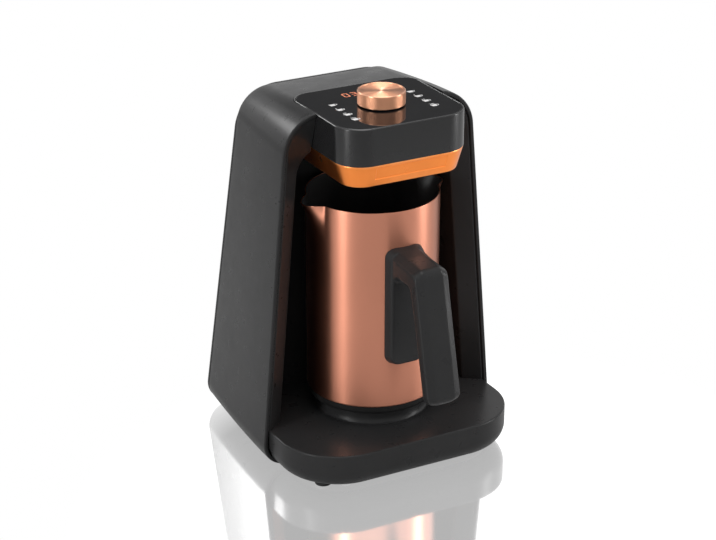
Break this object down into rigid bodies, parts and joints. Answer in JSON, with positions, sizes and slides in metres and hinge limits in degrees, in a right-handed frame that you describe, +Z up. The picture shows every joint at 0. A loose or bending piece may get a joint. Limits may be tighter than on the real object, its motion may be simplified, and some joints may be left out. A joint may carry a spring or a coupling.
{
  "type": "electric turkish coffee maker",
  "caption": "Countertop machine that brews Turkish coffee in a lift-off pot under an arched housing, with a touch panel and a push-and-turn knob.",
  "frame": {"origin": "middle of the footprint, on the table", "axes": "+X to the right seen from the front, +Y to the back, +Z up"},
  "size_m": [0.182, 0.2085, 0.2661],
  "materials": {
    "black_satin": "satin",
    "black_gloss": "gloss",
    "black_inner": "matte",
    "copper_metal": "brushed, copper-coloured coat",
    "copper_plated": "satin, copper-coloured plating",
    "copper_aluminium": "brushed, copper-coloured anodising",
    "dark_glass": "gloss, clear over black printing",
    "rubber": "matte",
    "steel": "satin",
    "contact_brass": "satin",
    "aluminium": "satin",
    "board": "matte",
    "relay_plastic": "gloss",
    "winding": "satin",
    "display_red": "gloss",
    "lens_red": "gloss",
    "nylon": "satin"
  },
  "bodies": {
    "machine": {"outer_shell": "black_satin", "back_cover": "black_satin", "bay_liner": "black_satin", "base_tray": "black_satin", "base_plate": "black_inner", "rubber_feet": "rubber", "base_screws": "steel", "cover_screws": "steel", "cord_inlet": "rubber", "pot_seat": "black_satin", "seat_connector": "black_inner", "seat_contacts": "contact_brass", "head_housing": "black_gloss", "copper_band": "copper_plated", "head_floor": "black_inner", "head_screws": "steel", "control_glass": "dark_glass", "display_module": "display_red", "touch_springs": "steel", "control_board": "board", "board_screws": "steel", "encoder_body": "steel", "encoder_nut": "steel", "buzzer": "black_inner", "boil_sensor": "steel", "sensor_lens": "lens_red", "power_board": "board", "mains_relay": "relay_plastic", "supply_transformer": "winding", "power_screws": "steel"},
    "knob_plunger": {"encoder_plunger": "nylon"},
    "knob": {"knob_shell": "copper_aluminium", "knob_core": "black_inner", "encoder_shaft": "aluminium"},
    "pot": {"pot_body": "copper_metal", "foot_ring": "black_inner", "heater_plate": "aluminium", "heating_element": "steel", "pot_connector": "black_inner", "dry_boil_switch": "steel", "foot_screws": "steel", "handle": "black_satin", "handle_bracket": "steel", "handle_screw": "steel", "screw_cover": "black_satin"}
  },
  "joints": [
    {"name": "knob_push", "type": "slide", "parent": "machine", "child": "knob_plunger", "axis": [0, 0, -1], "range_m": [0, 0.0006], "stiffness_N_per_m": 3000, "springref_m": -0.0007},
    {"name": "knob_turn", "type": "hinge", "parent": "knob_plunger", "child": "knob", "pos_m": [0, -0.01385, 0.257], "axis": [0, 0, 1], "continuous": true},
    {"name": "pot_lift", "type": "slide", "parent": "machine", "child": "pot", "axis": [0, 0, 1], "range_m": [0, 0.02]}
  ]
}
